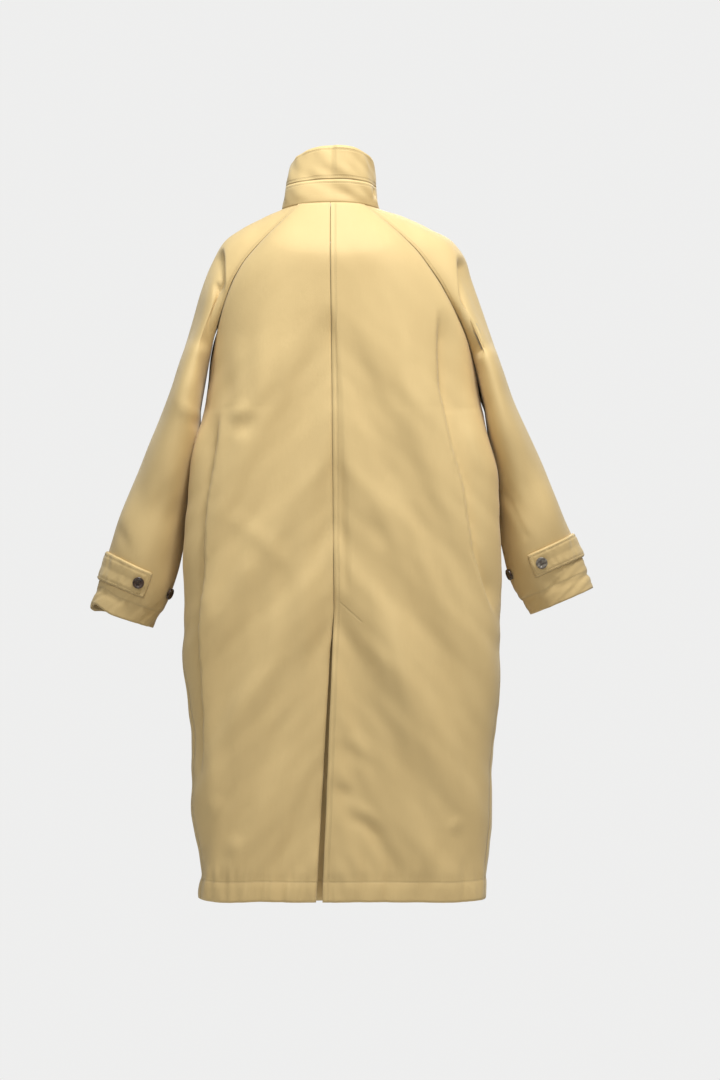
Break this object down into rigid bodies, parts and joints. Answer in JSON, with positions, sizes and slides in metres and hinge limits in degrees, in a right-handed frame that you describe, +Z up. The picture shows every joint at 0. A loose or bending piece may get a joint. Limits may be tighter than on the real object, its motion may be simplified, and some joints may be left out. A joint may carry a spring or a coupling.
{
  "type": "raglan overcoat",
  "caption": "Long beige raglan overcoat with a turned-up stand collar, a centre back vent and a buttoned tab on each cuff.",
  "frame": {"origin": "centre of the neck opening at the height of the nape seam, where the hanger loop hangs the coat", "axes": "+Z up towards the collar, -Y towards the coat's front, +X towards the wearer's left"},
  "size_m": [0.7914, 0.3225, 1.203],
  "materials": {
    "coat_cloth": "satin",
    "facing_cloth": "satin",
    "coat_lining": "satin",
    "horn_button": "gloss",
    "button_thread": "matte",
    "loop_tape": "matte"
  },
  "bodies": {
    "torso": {"back_panel_left": "coat_cloth", "back_panel_right": "coat_cloth", "vent_underlap": "coat_cloth", "raglan_back_left": "coat_cloth", "raglan_back_right": "coat_cloth", "raglan_front_left": "coat_cloth", "raglan_front_right": "coat_cloth", "front_panel_left": "coat_cloth", "front_panel_right": "coat_cloth", "front_facing_left": "facing_cloth", "front_facing_right": "facing_cloth", "collar_stand": "coat_cloth", "collar_fall": "coat_cloth", "collar_interlining": "coat_lining", "under_collar": "coat_cloth", "back_neck_facing": "facing_cloth", "raglan_lining_left": "coat_lining", "raglan_lining_right": "coat_lining", "back_lining_left": "coat_lining", "back_lining_right": "coat_lining", "front_lining_left": "coat_lining", "front_lining_right": "coat_lining", "hem_facing_left": "facing_cloth", "hem_facing_right": "facing_cloth", "pocket_welt_left": "coat_cloth", "pocket_welt_right": "coat_cloth", "pocket_bag_left": "coat_lining", "pocket_bag_right": "coat_lining", "front_buttons": "horn_button", "front_button_threads": "button_thread"},
    "sleeve_left": {"sleeve_back_left": "coat_cloth", "sleeve_front_left": "coat_cloth", "sleeve_lining_left": "coat_lining", "cuff_facing_left": "facing_cloth", "cuff_buttons_left": "horn_button", "cuff_button_threads_left": "button_thread"},
    "sleeve_right": {"sleeve_back_right": "coat_cloth", "sleeve_front_right": "coat_cloth", "sleeve_lining_right": "coat_lining", "cuff_facing_right": "facing_cloth", "cuff_buttons_right": "horn_button", "cuff_button_threads_right": "button_thread"},
    "tab_left": {"cuff_tab_left": "coat_cloth"},
    "tab_right": {"cuff_tab_right": "coat_cloth"},
    "vent": {"vent_flap": "coat_cloth", "vent_facing": "facing_cloth"},
    "skirt_left": {"front_flap_left": "coat_cloth", "flap_facing_left": "facing_cloth"},
    "skirt_right": {"front_flap_right": "coat_cloth", "flap_facing_right": "facing_cloth"},
    "loop": {"hanger_loop": "loop_tape"}
  },
  "joints": [
    {"name": "sleeve_left_raise", "type": "hinge", "parent": "torso", "child": "sleeve_left", "pos_m": [0.2668, 0, -0.2958], "axis": [0, -1, 0], "range_deg": [0, 50]},
    {"name": "sleeve_right_raise", "type": "hinge", "parent": "torso", "child": "sleeve_right", "pos_m": [-0.2668, 0, -0.2958], "axis": [0, 1, 0], "range_deg": [0, 50]},
    {"name": "cuff_tab_left_open", "type": "hinge", "parent": "sleeve_left", "child": "tab_left", "pos_m": [0.37114, -0.00932, -0.56524], "axis": [0.3583, 0.0213, -0.9334], "range_deg": [0, 100], "deforming": ["cuff_tab_left"]},
    {"name": "cuff_tab_right_open", "type": "hinge", "parent": "sleeve_right", "child": "tab_right", "pos_m": [-0.37114, -0.00932, -0.56524], "axis": [0.3583, -0.0213, 0.9334], "range_deg": [0, 100], "deforming": ["cuff_tab_right"]},
    {"name": "vent_open", "type": "hinge", "parent": "torso", "child": "vent", "pos_m": [-0.06, 0.1544, -0.88], "axis": [0.25, 0.0521, 0.9668], "range_deg": [0, 45]},
    {"name": "skirt_left_open", "type": "hinge", "parent": "torso", "child": "skirt_left", "pos_m": [0.0475, -0.153, -0.901], "axis": [-0.3635, -0.0612, 0.9296], "range_deg": [0, 50]},
    {"name": "skirt_right_open", "type": "hinge", "parent": "torso", "child": "skirt_right", "pos_m": [-0.0325, -0.151, -0.9945], "axis": [-0.4973, 0.0575, -0.8657], "range_deg": [0, 25]},
    {"name": "hanger_loop_swing", "type": "hinge", "parent": "torso", "child": "loop", "pos_m": [0, 0.0692, -0.0085], "axis": [-1, 0, 0], "range_deg": [0, 70]}
  ],
  "couplings": [
    {"joint": "skirt_right_open", "follows": "skirt_left_open", "ratio": 0.5}
  ]
}
